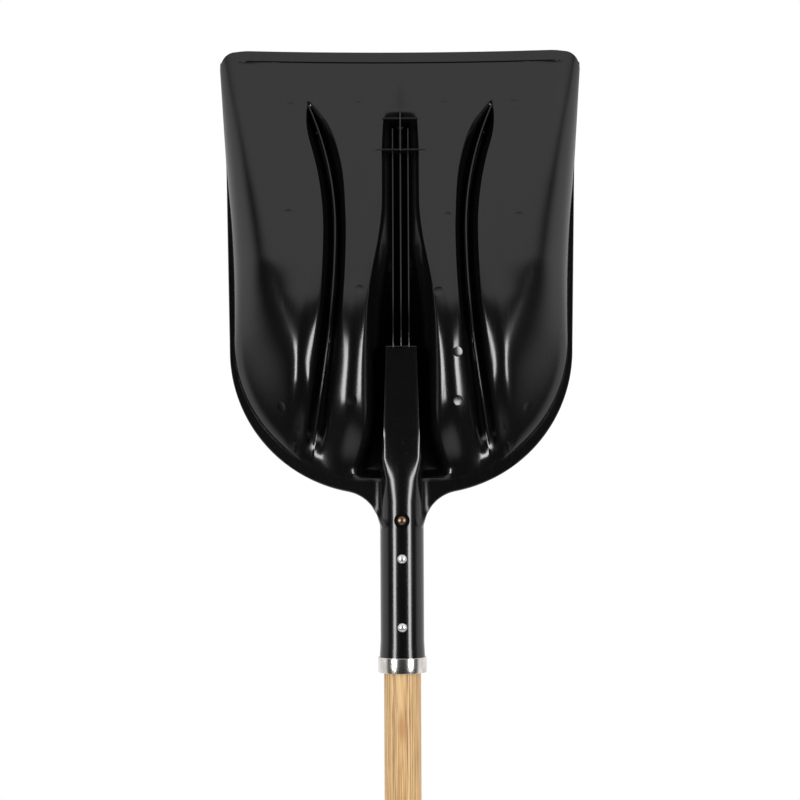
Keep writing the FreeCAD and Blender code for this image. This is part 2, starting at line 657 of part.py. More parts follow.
def make_handle(doc):
    """Straight ash stick, turned down and tapered in the socket, with holes for its fasteners."""
    shoulder = f"({MOUTH} - Sizes.ferrule_wall - Sizes.ferrule_clearance)"
    stick = revolved(doc, "stick", "XZ_Plane", "V_Axis", [
        (0, 0),
        ("Sizes.handle_radius - Sizes.butt_round", 0, "Sizes.butt_round", 1),
        ("Sizes.handle_radius", "Sizes.butt_round"),
        ("Sizes.handle_radius", shoulder),
        *tenon_outline(0, shoulder),
    ])
    holes = []
    for name, height in rivet_places():
        holes.append(add_cylinder_y(doc, f"stick_hole_{name}", "Sizes.rivet_radius + Sizes.rivet_clearance",
                                    "-Sizes.handle_radius * 2", "Sizes.handle_radius * 2", height))
    holes.append(add_cylinder_y(doc, "pilot_hole", "Sizes.screw_radius + Sizes.rivet_clearance",
                                "-Sizes.handle_radius * 2",
                                f"{SCREW_SEAT} + Sizes.screw_length + Sizes.rivet_clearance", SCREW_HEIGHT))
    return combine(doc, "Cut", "handle", stick, fuse(doc, "handle_holes", holes))


def make_ferrule(doc):
    """Turned-in steel ring over the socket's mouth."""
    inner = f"({MOUTH_RADIUS} + Sizes.ferrule_clearance)"
    lip = f"{TENON} + Sizes.ferrule_clearance"
    return revolved(doc, "ferrule", "XZ_Plane", "V_Axis", [
        (lip, f"{MOUTH} - Sizes.ferrule_wall"),
        (f"{inner} + Sizes.ferrule_wall", f"{MOUTH} - Sizes.ferrule_wall"),
        (f"{inner} + Sizes.ferrule_wall", f"{MOUTH} + Sizes.ferrule_length - Sizes.ferrule_wall"),
        (inner, f"{MOUTH} + Sizes.ferrule_length - Sizes.ferrule_wall"),
        (inner, MOUTH),
        (lip, MOUTH),
    ])


def dome_radius(radius, height):
    """Radius of the ball that a dome of a given radius and height is cut from."""
    return f"(({radius})^2 + ({height})^2) / (2 * ({height}))"


def turned_across(doc, name, corners, height):
    """Fastener turned about its own axis, which lies along Y at a height on the handle's axis."""
    body = revolved(doc, name, "XY_Plane", "V_Axis", corners)
    bind(body, Placement__Base__z=height)
    doc.recompute()
    return body


def make_rivet(doc, name, height):
    """Rivet through the socket and the stick: domed head at the back, peened end at the front."""
    peen = f"({WASHER_SEAT} + Sizes.washer_thickness)"
    head_radius, head_height = "Sizes.rivet_head_radius", "Sizes.rivet_head_height"
    peen_radius, peen_height = "Sizes.rivet_peen_radius", "Sizes.rivet_peen_height"
    return turned_across(doc, name, [
        (0, f"{HEAD_SEAT} - {head_height}", dome_radius(head_radius, head_height), 1),
        (head_radius, HEAD_SEAT),
        ("Sizes.rivet_radius", HEAD_SEAT),
        ("Sizes.rivet_radius", peen),
        (peen_radius, peen, dome_radius(peen_radius, peen_height), 1),
        (0, f"{peen} + {peen_height}"),
    ], height)


def make_washer(doc, name, height):
    """Flat washer between the socket and the rivet's peened end."""
    outer = f"{WASHER_SEAT} + Sizes.washer_thickness"
    bore = "Sizes.rivet_radius + Sizes.rivet_clearance"
    return turned_across(doc, name, [
        (bore, WASHER_SEAT),
        ("Sizes.washer_radius", WASHER_SEAT),
        ("Sizes.washer_radius", outer),
        (bore, outer),
    ], height)


def make_screw(doc):
    """Domed screw in the round recess, holding the stick in the socket."""
    tip = f"({SCREW_SEAT} + Sizes.screw_length)"
    head_radius, head_height = "Sizes.screw_head_radius", "Sizes.screw_head_height"
    return turned_across(doc, "socket_screw", [
        (0, f"{SCREW_SEAT} - {head_height}", dome_radius(head_radius, head_height), 1),
        (head_radius, SCREW_SEAT),
        ("Sizes.screw_radius", SCREW_SEAT),
        ("Sizes.screw_radius", f"{tip} - Sizes.screw_radius * 2"),
        (0, tip),
    ], SCREW_HEIGHT)


def check_and_export(doc, names):
    """Refuse failed objects and bad shapes, then write each sub-part to its own file."""
    failed = [item.Name for item in doc.Objects if {"Invalid", "Error"} & set(item.State)]
    if failed:
        raise RuntimeError(f"failed objects: {failed}")
    os.makedirs("parts", exist_ok=True)
    for name in names:
        shape = doc.getObject(name).Shape
        if shape.isNull() or not shape.isValid():
            raise RuntimeError(f"bad shape: {name}")
        print(name, len(shape.Solids), round(shape.Volume), shape.BoundBox)
        shape.exportStep(f"parts/{name}.step")


def main():
    doc = FreeCAD.newDocument("snow_shovel")
    make_sheet(doc)
    make_blade(doc)
    make_handle(doc)
    make_ferrule(doc)
    make_screw(doc)
    names = ["blade", "handle", "ferrule", "socket_screw"]
    for place, height in rivet_places():
        make_rivet(doc, f"rivet_{place}", height)
        make_washer(doc, f"washer_{place}", height)
        names += [f"rivet_{place}", f"washer_{place}"]
    check_and_export(doc, names)


main()
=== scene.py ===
import math

import bmesh
import bpy
from mathutils import Matrix, Vector


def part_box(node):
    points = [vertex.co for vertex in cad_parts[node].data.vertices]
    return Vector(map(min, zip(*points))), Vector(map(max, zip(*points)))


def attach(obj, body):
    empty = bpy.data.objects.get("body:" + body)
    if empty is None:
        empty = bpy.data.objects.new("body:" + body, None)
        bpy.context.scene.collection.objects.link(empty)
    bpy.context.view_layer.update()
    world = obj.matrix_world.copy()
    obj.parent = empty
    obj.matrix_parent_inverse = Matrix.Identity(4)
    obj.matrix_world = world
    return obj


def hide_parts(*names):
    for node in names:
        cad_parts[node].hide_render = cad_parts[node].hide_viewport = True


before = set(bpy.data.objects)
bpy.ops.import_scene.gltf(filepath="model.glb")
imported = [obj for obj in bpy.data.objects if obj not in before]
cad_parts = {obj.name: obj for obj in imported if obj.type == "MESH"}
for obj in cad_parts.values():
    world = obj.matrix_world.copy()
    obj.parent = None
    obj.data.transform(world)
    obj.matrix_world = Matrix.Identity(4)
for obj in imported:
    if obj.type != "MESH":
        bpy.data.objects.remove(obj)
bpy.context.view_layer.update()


# Sheet of the scoop: one glossy black plastic moulding, 3.2 mm thick, with a bowed floor, side
# walls, a rim flange, a hollow spine and two hollow ridges. It is drawn in millimetres in its own
# frame: x across, v from the tip edge to the heel, w from the back of the floor to the load.
LIFT = math.radians(20)
WALL = 3.2
BLADE = 466
HEEL_HALF, HEEL_RADIUS, HEEL_START = 174, 149, 305
FLARE, FLARE_END = math.radians(5), 150
SIDE_RADIUS = (HEEL_START - FLARE_END) / math.sin(FLARE)
FLOOR_BEND, FLOOR_RADIUS = 275, 230
TIP_CORNER, TIP_CORNER_X, TIP_HOLLOW = 14, 177.1, 3
BAND_END, BAND_RAISE = 11.6, 0.6
RIM_TIP, RIM_HEEL = 18, 86
RIM_BLEND = 3
FLANGE_HALF, FLANGE_RADIUS, FLANGE_START, FLANGE_SPREAD = 178, 151, 315, 8.89
WEB_RADIUS, WEB_ACROSS, WEB_ALONG, WEB_START, WEB_END = 40, 62.4, 502.7, 22.4, 54.98
FLANGE_EDGE = 0.7
FOOT_ROUND, FOOT_SLACK = 9, 0.78
CROWN_START, CROWN_SLOPE, CROWN_ROUND = 235, 0.62, 9
OUTER_CREST, OUTER_ROUND = 14, 6
RIDGE_START, RIDGE_END, RIDGE_DEPTH = 62, 424, 16.5
RIDGE_NEAR, RIDGE_TURN, RIDGE_BOW, RIDGE_HEEL_BOW = 67.5, 208, 373, 1000
SPINE_START, SPINE_END = 77.5, 436
SPINE_AT_HEEL, SPINE_LEAST = 110.96, 22
FILLET, FILLET_FROM, FILLET_SHARE = 13, 17, 0.8
PLATE_TURN, PLATE_TURN_LENGTH = 444, 14
PARTING = 449.4
ROWS_TURN, ROWS_END = 300, 440
TIP_PLACE = Vector((0, 79.87, 1623.31))
ALONG = Vector((0, -math.sin(LIFT), -math.cos(LIFT)))
UPWARD = Vector((0, math.cos(LIFT), -math.sin(LIFT)))


def ease(value):
    """Smooth step from 0 to 1."""
    value = min(max(value, 0), 1)
    return value * value * (3 - 2 * value)


def in_row(x, v, w):
    """Point of the blade's own frame in the shared frame."""
    return Vector((x, 0, 0)) + TIP_PLACE + ALONG * v + UPWARD * w


def tip_edge(x):
    """How far the tip edge is cut back: a slight hollow, then a rounded corner."""
    x = abs(x)
    if x < TIP_CORNER_X:
        return TIP_HOLLOW * (1 - (x / TIP_CORNER_X) ** 2)
    reach = min(x - TIP_CORNER_X, TIP_CORNER)
    return TIP_CORNER - math.sqrt(TIP_CORNER ** 2 - reach ** 2)


def wall_half(v, inset):
    """Half the width over the side walls, moved in by an inset."""
    if v < FLARE_END:
        bend = HEEL_HALF + SIDE_RADIUS * (1 - math.cos(FLARE))
        return bend + (FLARE_END - v) * math.tan(FLARE) * 0.86 - inset
    if v < HEEL_START:
        return HEEL_HALF + SIDE_RADIUS - math.sqrt(SIDE_RADIUS ** 2 - (HEEL_START - v) ** 2) - inset
    radius = HEEL_RADIUS - inset
    return HEEL_HALF - HEEL_RADIUS + math.sqrt(max(radius ** 2 - (v - HEEL_START) ** 2, 0))


def heel_end(x, inset):
    """Where the wall closes the heel, at a distance from the middle."""
    radius = HEEL_RADIUS - inset
    beside = max(abs(x) - (HEEL_HALF - HEEL_RADIUS), 0)
    return HEEL_START + math.sqrt(max(radius ** 2 - beside ** 2, 0))


def outward(x, v):
    """Direction from the wall to the outside, in the plan."""
    if v <= HEEL_START:
        return Vector((math.copysign(1, x), 0))
    beside = math.copysign(max(abs(x) - (HEEL_HALF - HEEL_RADIUS), 0), x)
    return Vector((beside, v - HEEL_START)).normalized()


def floor_height(v, inset):
    """Height of the floor, which bends up towards the heel."""
    along = max(v - FLOOR_BEND, 0)
    return FLOOR_RADIUS - math.sqrt((FLOOR_RADIUS - inset) ** 2 - along ** 2)


def rim_height(v):
    """Height of the rim's plane at its load side."""
    return RIM_TIP + (RIM_HEEL - RIM_TIP) * v / BLADE


def spine_crest(v, least):
    """Height of the spine's crest, which rises to cover the socket."""
    return max(least, SPINE_AT_HEEL - (BLADE - v) * math.tan(LIFT))


def wall_gap(x, v, inset):
    """Distance to the wall in the plan."""
    x = abs(x)
    if v < HEEL_START:
        return wall_half(v, inset) - x
    beside = x - (HEEL_HALF - HEEL_RADIUS)
    if beside < 0:
        return HEEL_START + HEEL_RADIUS - inset - v
    return HEEL_RADIUS - inset - math.hypot(beside, v - HEEL_START)


def ridge_middle(v):
    """Middle line of the bowed ridge, and the share of its width seen across the blade."""
    radius = RIDGE_BOW if v < RIDGE_TURN else RIDGE_HEEL_BOW
    reach = math.sqrt(radius ** 2 - (RIDGE_TURN - v) ** 2)
    return RIDGE_NEAR + radius - reach, reach / radius


def ridge_halves(v):
    """Widths of the ridge's hollow outside and inside its middle line."""
    outer = 12.3 * (1 - (1 - min(max((v - RIDGE_START) / 46, 0.03), 1)) ** 2)
    inner = 13.3 - 2.3 * ease((v - 130) / 60)
    return outer, inner


def spine_half(v):
    """Half the width of the spine's hollow."""
    return 17 + 1.3 * ease((v - 80) / 40) + 14.2 * ease((v - 170) / 130) + 18 * ease((v - 400) / 56)


def edge_round(v):
    """Half the width over which a hollow's edge turns, wider towards the heel."""
    return 1.4 + 5 * ease((v - CROWN_START) / 130)


def socket_fillet(x):
    """How far the plate turns up towards the back beside the socket."""
    beside = min(max(abs(x) - FILLET_FROM, 0), FILLET)
    return FILLET_SHARE * (FILLET - math.sqrt(FILLET ** 2 - (FILLET - beside) ** 2))


def blade_height(x, v, inset):
    """Height of the moulding's back, or of its load side when it has an inset."""
    side = abs(x)
    height = floor_height(v, inset)
    # Towards the heel the panels between the hollows are crowned.
    middle, share = ridge_middle(v)
    turn = edge_round(v)
    crown = ease((v - CROWN_START) / 120)
    inner = spine_half(v)
    outer_half, inner_half = ridge_halves(v)
    if side < middle:
        span = (middle - inner_half - inner) / 2
        away = min(abs(side - inner - span), span)
        height += crown * CROWN_SLOPE * (math.hypot(away, CROWN_ROUND) - CROWN_ROUND)
    else:
        crest = middle + outer_half + OUTER_CREST
        away = max(side - crest, middle + outer_half - crest)
        slope = 0.5 if away > 0 else 0.55
        height += crown * slope * (math.hypot(away, OUTER_ROUND) - OUTER_ROUND)
    # The foot and the side wall: a wide, slack rounding that steepens up to the rim.
    rim = rim_height(v) - (0 if inset else WALL)
    gap = max(wall_gap(x, v, inset), 0)
    wide = 34 + 34 * ease((v - 60) / 330)
    near = max(1 - gap / FOOT_ROUND, 0)
    if rim > height:
        slack = FOOT_SLACK * max(1 - gap / wide, 0) ** 2
        height += (rim - height) * (slack + (1 - FOOT_SLACK) * (1 - math.sqrt(1 - near ** 2)))
    # The bowed ridge: an arch, hollow at the back and raised on the load side, with a slanting start.
    offset = (side - middle) * share
    half = (outer_half if offset > 0 else inner_half) + inset
    from_line = abs(offset) / half
    arch = math.sqrt(max(1 - from_line ** 2, 0)) if inset else max(1 - from_line, 0) ** 0.9
    lip = 1 - ease((from_line * half - half + turn) / (2 * turn))
    ramp = ease((v - RIDGE_START) / 16) if offset > 0 else ease((v - 55 + 2.8 * offset) / 26)
    ramp *= 1 - ease((v - RIDGE_END) / 20)
    deep = min(RIDGE_DEPTH, max(rim - height, 0) * 0.7)
    height += (0.12 * lip + 0.88 * arch) * deep * lip * ramp
    # The tip band stands out at the back.
    if not inset:
        behind = v - tip_edge(x)
        height -= BAND_RAISE * (1 - ease((behind - BAND_END) / 0.8)) * (1 - ease((side - 160) / 14))
    # The rim's plane closes the heel.
    over = min(max((height - rim) / RIM_BLEND, -1), 1)
    height = min(height, rim) - RIM_BLEND * (1 - abs(over)) ** 2 / 4
    # The spine: a shallow run-in ahead of its hollow, which covers the socket further on.
    top = spine_crest(v, SPINE_LEAST) - (0 if inset else WALL)
    if 30 < v < 84:
        run_in = 1 - ease(side / (7 + 12 * ease((v - 40) / 42) + inset))
        height += 1.8 * ease((v - 38) / 42) * run_in
    if v > 74 - inset:
        across = 1 - ease((side - inner - inset + turn) / (2 * turn))
        share = min(side / (inner + inset), 1)
        arch = math.sqrt(1 - share ** 2) if inset or v > 330 else (1 - share) ** 0.9
        fullness = 0.2 + 0.8 * arch
        opened = ease((v - SPINE_START + inset) / 3)
        close = 1 - ease((v - SPINE_END - 2 * inset) / (15 - inset))
        height += max(top - height, 0) * across * fullness * opened * close
    # The plate turns up to the sides of the socket.
    if not inset:
        height -= socket_fillet(side) * ease((v - PLATE_TURN) / PLATE_TURN_LENGTH)
    return height


def feature_lines(v, inset):
    """Distances from the middle of the lines that the mesh follows."""
    turn = edge_round(v)
    middle, share = ridge_middle(v)
    spine = spine_half(v) + inset
    outer, inner = [half + inset for half in ridge_halves(v)]
    return [0, spine - turn, spine + turn,
            middle - (inner + turn) / share, middle - max(inner - turn, 0.1) / share,
            middle + max(outer - turn, 0.1) / share, middle + (outer + turn) / share]


SPANS = [9, 4, 9, 4, 8, 4]
OUTER = 26
COLUMNS = sum(SPANS) + OUTER
ROWS = [0, 0.6, 1.6, 5, 9, 11.2, 11.6, 12, 12.4, 13, 17, 22]
ROWS += [26 + 4 * step for step in range(69)]
ROWS += [301 + 3 * step for step in range(33)]
ROWS += [399 + 1.25 * step for step in range(33)]
ROWS[-1] = ROWS_END


def line_point(row, find_x, inset):
    """Point of a feature line at a row: rows close up to the heel's wall and follow the tip edge."""
    v = row
    for _ in range(4):
        x = find_x(v)
        end = heel_end(x, inset)
        if row > ROWS_TURN:
            v = ROWS_TURN + (row - ROWS_TURN) * (end - ROWS_TURN) / (ROWS_END - ROWS_TURN)
        else:
            v = row + tip_edge(x) * (1 - ease((row - 16) / 70))
    return x, v


def outline_point(row, inset):
    """Point of the wall's outline at a row."""
    first = TIP_CORNER - 1.2
    if row <= ROWS_TURN:
        v = first + (ROWS_TURN - first) * row / ROWS_TURN
    else:
        v = ROWS_TURN + (401 - inset * 0.6 - ROWS_TURN) * (row - ROWS_TURN) / (ROWS_END - ROWS_TURN)
    return wall_half(v, inset), v


def sheet_point(column, row, inset):
    """Plan position of a mesh point on the right half."""
    left = column
    for span, count in enumerate(SPANS):
        if left <= count:
            share = left / count

            def find_x(v):
                lines = feature_lines(v, inset)
                return lines[span] + share * (lines[span + 1] - lines[span])
            return line_point(row, find_x, inset)
        left -= count
    near = line_point(row, lambda v: feature_lines(v, inset)[-1], inset)
    far = outline_point(row, inset)
    share = 1 - (1 - left / OUTER) ** 1.5
    x = near[0] + share * (far[0] - near[0])
    v = near[1] + share * (far[1] - near[1])
    # The first rows follow the rounded corner, and the last ones the heel's arc.
    near_start = line_point(0, lambda v: feature_lines(v, inset)[-1], inset)
    far_start = outline_point(0, inset)
    start_x = near_start[0] + share * (far_start[0] - near_start[0])
    start_v = near_start[1] + share * (far_start[1] - near_start[1])
    v += (tip_edge(start_x) - start_v) * (1 - ease((row - 16) / 70))
    if row > ROWS_TURN:
        pull = ((row - ROWS_TURN) / (ROWS_END - ROWS_TURN)) ** 3
        v += (heel_end(x, inset) - v) * pull * (1 if left < OUTER else 0)
    return x, v


def flange_point(x, v):
    """Outer edge of the rim flange beyond a point of the wall, with the web beside the socket."""
    side = abs(x)
    if v <= HEEL_START:
        half = FLANGE_HALF + (FLANGE_START - v) * FLANGE_SPREAD / FLANGE_START
        return math.copysign(max(half, side + 0.1 + 0.25 * ease((v - 20) / 60)), x), v
    middle = FLANGE_HALF - FLANGE_RADIUS
    turn = math.atan2(side - (HEEL_HALF - HEEL_RADIUS), v - HEEL_START)
    if side < 55:
        outer = side
    else:
        outer = middle + FLANGE_RADIUS * math.sin(turn)
    if outer < WEB_END:
        beside = WEB_ACROSS - max(outer, WEB_START)
        return math.copysign(outer, x), WEB_ALONG - math.sqrt(max(WEB_RADIUS ** 2 - beside ** 2, 0))
    return math.copysign(outer, x), FLANGE_START + math.sqrt(FLANGE_RADIUS ** 2 - (outer - middle) ** 2)


def add_sheet(bm, inset):
    """One side of the moulding from a grid, with its wall and flange drawn out of its edges."""
    made = bmesh.ops.create_grid(bm, x_segments=2 * COLUMNS, y_segments=len(ROWS) - 1, size=1)
    places = {}
    for vert in made["verts"]:
        column = round(vert.co.x * COLUMNS)
        row = round((vert.co.y + 1) / 2 * (len(ROWS) - 1))
        x, v = sheet_point(abs(column), ROWS[row], inset)
        x = math.copysign(x, column)
        places[vert] = (column, row, x, v)
        vert.co = (x, v, blade_height(x, v, inset))
    last = len(ROWS) - 1
    edge = [vert for vert in made["verts"] if abs(places[vert][0]) == COLUMNS or places[vert][1] == last]
    marked = set(edge)
    rim = [e for e in {e for vert in edge for e in vert.link_edges}
           if e.is_boundary and e.verts[0] in marked and e.verts[1] in marked]
    base = {vert: (places[vert][2], places[vert][3], vert.co.z) for vert in edge}
    # Steps up the wall and out over the flange: share of the wall, distance out, share of the flange,
    # and how far past its edge.
    steps = [(0.08, 0.03, 0, 0), (0.5, 0.06, 0, 0), (0.9, 0.09, 0, 0), (0.97, 0.12, 0, 0), (1, 0.2, 0, 0),
             (1, 0.2, 0.25, 0), (1, 0.2, 0.5, 0), (1, 0.2, 0.75, 0),
             (1, 0.2, 1, -FLANGE_EDGE), (1, 0.2, 1, 0)]
    for number, (climb, out, share, back) in enumerate(steps):
        made = bmesh.ops.extrude_edge_only(bm, edges=rim)
        new = {g for g in made["geom"] if isinstance(g, bmesh.types.BMVert)}
        rim = [g for g in made["geom"] if isinstance(g, bmesh.types.BMEdge) and g.is_boundary
               and g.verts[0] in new and g.verts[1] in new]
        after = {}
        for vert in new:
            old = next(e.other_vert(vert) for e in vert.link_edges if e.other_vert(vert) in base)
            x, v, w = base[old]
            plate = rim_height(v) - (0 if inset else WALL)
            way = outward(x, v)
            fx, fv = flange_point(x + way[0] * inset, v + way[1] * inset)
            if share == 1:
                reach = Vector((fx - x, fv - v))
                reach *= max(reach.length + back, reach.length * 0.8) / max(reach.length, 0.01)
                px, pv = x + reach[0], v + reach[1]
            else:
                px = x + way[0] * out + (fx - x - way[0] * out) * share
                pv = v + way[1] * out + (fv - v - way[1] * out) * share
            height = w + (plate - w) * climb
            if climb == 1:
                height = rim_height(pv) - (0 if inset else WALL)
                if not inset:
                    height -= socket_fillet(px) * ease((pv - PLATE_TURN) / PLATE_TURN_LENGTH)
            if number == len(steps) - 1:
                height += -FLANGE_EDGE if inset else FLANGE_EDGE
            vert.co = (px, pv, height)
            after[vert] = (x, v, w)
        base = after
    return rim


def finish_mesh(bm, name, angle=35):
    """Millimetres to metres, normals out, smooth faces with sharp edges kept, as an object."""
    bmesh.ops.recalc_face_normals(bm, faces=bm.faces)
    bmesh.ops.scale(bm, vec=(0.001, 0.001, 0.001), verts=bm.verts)
    mesh = bpy.data.meshes.new(name)
    bm.to_mesh(mesh)
    bm.free()
    for face in mesh.polygons:
        face.use_smooth = True
    mesh.set_sharp_from_angle(angle=math.radians(angle))
    piece = bpy.data.objects.new(name, mesh)
    bpy.context.scene.collection.objects.link(piece)
    return piece


bm = bmesh.new()
rims = add_sheet(bm, 0) + add_sheet(bm, WALL)
tips = list({e for e in bm.edges if e.is_boundary} - set(rims))
bmesh.ops.bridge_loops(bm, edges=rims)
bmesh.ops.bridge_loops(bm, edges=tips)
for vert in bm.verts:
    vert.co = in_row(*vert.co)
sheet = finish_mesh(bm, "scoop_sheet", 40)


class Wire:
    """A socket that can stand in sums and products, as a number does."""

    def __init__(self, tree, socket=None):
        self.tree = tree
        self.socket = socket

    def node(self, kind, settings=None, inputs=None, output=0):
        """Any node: its settings first, then the values or links of its sockets."""
        made = self.tree.nodes.new(kind)
        for name, value in (settings or {}).items():
            if name == "stops":
                ramp = made.color_ramp
                while len(ramp.elements) < len(value):
                    ramp.elements.new(0.5)
                for element, (place, color) in zip(ramp.elements, value):
                    element.position = place
                    element.color = (*color, 1)
            else:
                setattr(made, name, value)
        for name, value in (inputs or {}).items():
            if isinstance(value, Wire):
                self.tree.links.new(value.socket, made.inputs[name])
            else:
                made.inputs[name].default_value = value
        return Wire(self.tree, made.outputs[output])

    def math(self, operation, first, second=0.0):
        return self.node("ShaderNodeMath", {"operation": operation}, {0: first, 1: second})

    def __add__(self, other):
        return self.math("ADD", self, other)

    def __radd__(self, other):
        return self.math("ADD", other, self)

    def __sub__(self, other):
        return self.math("SUBTRACT", self, other)

    def __rsub__(self, other):
        return self.math("SUBTRACT", other, self)

    def __mul__(self, other):
        return self.math("MULTIPLY", self, other)

    def __rmul__(self, other):
        return self.math("MULTIPLY", other, self)

    def smooth(self, low, high):
        """Smooth step from 0 at low to 1 at high."""
        return self.node("ShaderNodeMapRange", {"interpolation_type": "SMOOTHSTEP"},
                         {0: self, 1: low, 2: high, 3: 0.0, 4: 1.0})

    def mix(self, first, second):
        """Colour between two colours, by this share."""
        return self.node("ShaderNodeMix", {"data_type": "RGBA"}, {0: self, 6: first, 7: second}, 2)


def new_material(name):
    """Empty material with one Principled shader, its wires and its Object coordinates."""
    material = bpy.data.materials.new(name)
    material.use_nodes = True
    tree = material.node_tree
    shader = tree.nodes["Principled BSDF"]
    wires = Wire(tree)
    place = wires.node("ShaderNodeTexCoord", output=3)
    return material, shader, wires, place


def stretched(wires, place, scale, settings=None, **inputs):
    """Noise on coordinates stretched by a scale."""
    moved = wires.node("ShaderNodeMapping", None, {0: place, 3: scale})
    return wires.node("ShaderNodeTexNoise", settings, {"Vector": moved, **inputs})


def paint(wires, shader, color, rough, relief, strength, distance):
    """Colour, roughness and fine relief of a material."""
    sizes = {"Height": relief, "Strength": strength, "Distance": distance}
    bump = wires.node("ShaderNodeBump", None, sizes)
    for name, wire in (("Base Color", color), ("Roughness", rough), ("Normal", bump)):
        wires.tree.links.new(wire.socket, shader.inputs[name])


plastic, shader, wires, place = new_material("gloss_black_plastic")
flow = stretched(wires, place, (9, 9, 4), Scale=1.0, Detail=3.0)
dust = stretched(wires, place, (900, 900, 900), Scale=1.0, Detail=2.0)
scuffs = stretched(wires, place, (420, 60, 25), Scale=1.0, Detail=4.0, Distortion=0.6)
specks = dust.smooth(0.66, 0.74)
marks = scuffs.smooth(0.6, 0.75)
color = (specks * 0.35).mix((0.0028, 0.0028, 0.003, 1), (0.03, 0.03, 0.03, 1))
rough = 0.15 + flow.smooth(0.35, 0.7) * 0.06 + marks * 0.08 + specks * 0.1
shader.inputs["IOR"].default_value = 1.5
relief = flow * 0.6 + dust * 0.02
paint(wires, shader, color, rough, relief, 0.15, 0.001)


def hold(piece, material, slot_name, *nodes):
    """Material, body and CAD node of a piece; slot_name is not used."""
    piece.data.materials.clear()
    piece.data.materials.append(material)
    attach(piece, "root")
    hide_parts(*nodes)


hold(sheet, plastic, "blade_plastic", "blade")


# Thin ribs of the same moulding: one along each ridge's hollow, three along the spine's hollow up to
# the socket's closed end, and two across it.
RIB, RIB_EDGE = 1.8, 0.85
RIB_END = 332
SPINE_RIB_ROOT = 18


def rib_strip(bm, find, start, end, count, low, high):
    """Rib of the moulding as a plate along a line, from its free edge to its root."""
    made = bmesh.ops.create_grid(bm, x_segments=1, y_segments=count, size=1)
    for vert in made["verts"]:
        share = (vert.co.y + 1) / 2
        x, v = find(start + (end - start) * share)
        base = floor_height(v, 0)
        vert.co = (x, v, base + low(v) if vert.co.x < 0 else max(high(v), base + low(v) + 1))


def round_edges(bm, size, segments=3, angle=0.6):
    """Rounding of every edge sharper than an angle."""
    sharp = [e for e in bm.edges if len(e.link_faces) == 2 and e.calc_face_angle() > angle]
    bmesh.ops.bevel(bm, geom=sharp, offset=size, segments=segments, profile=0.5, material=-1,
                    affect="EDGES", clamp_overlap=True)


def thickened(bm, thickness):
    """Plates made solid about their middle."""
    bmesh.ops.recalc_face_normals(bm, faces=bm.faces)
    for vert in bm.verts:
        vert.co -= vert.normal * thickness / 2
    bmesh.ops.solidify(bm, geom=bm.faces[:], thickness=-thickness)
    bmesh.ops.recalc_face_normals(bm, faces=bm.faces)


bm = bmesh.new()
for sign in (1, -1):
    rib_strip(bm, lambda v: (sign * ridge_middle(v)[0], v), 64, 420, 110,
              lambda v: 0.2 + 7 * ease((v - 370) / 50),
              lambda v: min(floor_height(v, 0) + 14, rim_height(v) - 1))
    rib_strip(bm, lambda v: (sign * 8, v), 88, RIB_END, 60, lambda v: 6,
              lambda v: spine_crest(v, SPINE_RIB_ROOT) - 1)
rib_strip(bm, lambda v: (0, v), 42, 118, 24, lambda v: -1.2, lambda v: 2.5 + 14 * ease((v - 74) / 8))
rib_strip(bm, lambda v: (0, v), 117, RIB_END, 60, lambda v: 3.5,
          lambda v: spine_crest(v, SPINE_RIB_ROOT) - 1)
for place_v, half in ((80, 19.6), (116, 27)):
    rib_strip(bm, lambda t: (t, place_v), -half, half, 12, lambda v: -0.6, lambda v: 17)
thickened(bm, RIB)
round_edges(bm, RIB_EDGE, 4, 1)
for vert in bm.verts:
    vert.co = in_row(*vert.co)
ribs = finish_mesh(bm, "scoop_ribs", 50)
hold(ribs, plastic, "blade_plastic", "blade")


# Small round marks that the mould's ejector pins left on the back, and the mould's thin raised
# parting line across the plate, to the left and the right of the socket.
MARKS = [(-114.6, 66), (-43.2, 65), (46.1, 65), (119.6, 64), (-116, 189), (49.2, 193), (122.5, 193),
         (-42, 274), (38.6, 276), (-123.2, 384), (-50.1, 384), (57.5, 384), (129.6, 384), (57.5, 338)]
MARK_RADIUS, MARK_RAISE, MARK_EDGE, MARK_SINK = 5.2, 0.2, 0.9, 0.12
bm = bmesh.new()
for x, v in MARKS:
    here = Vector((x, v, blade_height(x, v, 0)))
    beside = Vector((x + 2, v, blade_height(x + 2, v, 0))) - here
    along = Vector((x, v + 2, blade_height(x, v + 2, 0))) - here
    out = along.cross(beside).normalized()
    turn = Matrix.Translation(here) @ out.to_track_quat("Z", "Y").to_matrix().to_4x4()
    made = bmesh.ops.create_circle(bm, cap_ends=True, segments=32, radius=MARK_RADIUS, matrix=turn)
    face = made["verts"][0].link_faces[0]
    raised = bmesh.ops.extrude_face_region(bm, geom=[face])["geom"]
    cap = [g for g in raised if isinstance(g, bmesh.types.BMFace)]
    bmesh.ops.translate(bm, vec=out * MARK_RAISE, verts=cap[0].verts)
    bmesh.ops.inset_region(bm, faces=cap, thickness=MARK_EDGE, depth=0)
    bmesh.ops.translate(bm, vec=out * -MARK_SINK, verts=cap[0].verts)
for start, end in ((-44, -24), (24, 44)):
    made = bmesh.ops.create_grid(bm, x_segments=12, y_segments=1, size=1)["verts"]
    for vert in made:
        x = start + (end - start) * (vert.co.x + 1) / 2
        v = PARTING + 0.4 * vert.co.y
        vert.co = (x, v, blade_height(x, v, 0) - 0.3)
    line = list({face for vert in made for face in vert.link_faces})
    bmesh.ops.solidify(bm, geom=line, thickness=0.6)
for vert in bm.verts:
    vert.co = in_row(*vert.co)
marks = finish_mesh(bm, "mould_marks", 30)
hold(marks, plastic, "blade_plastic", "blade")


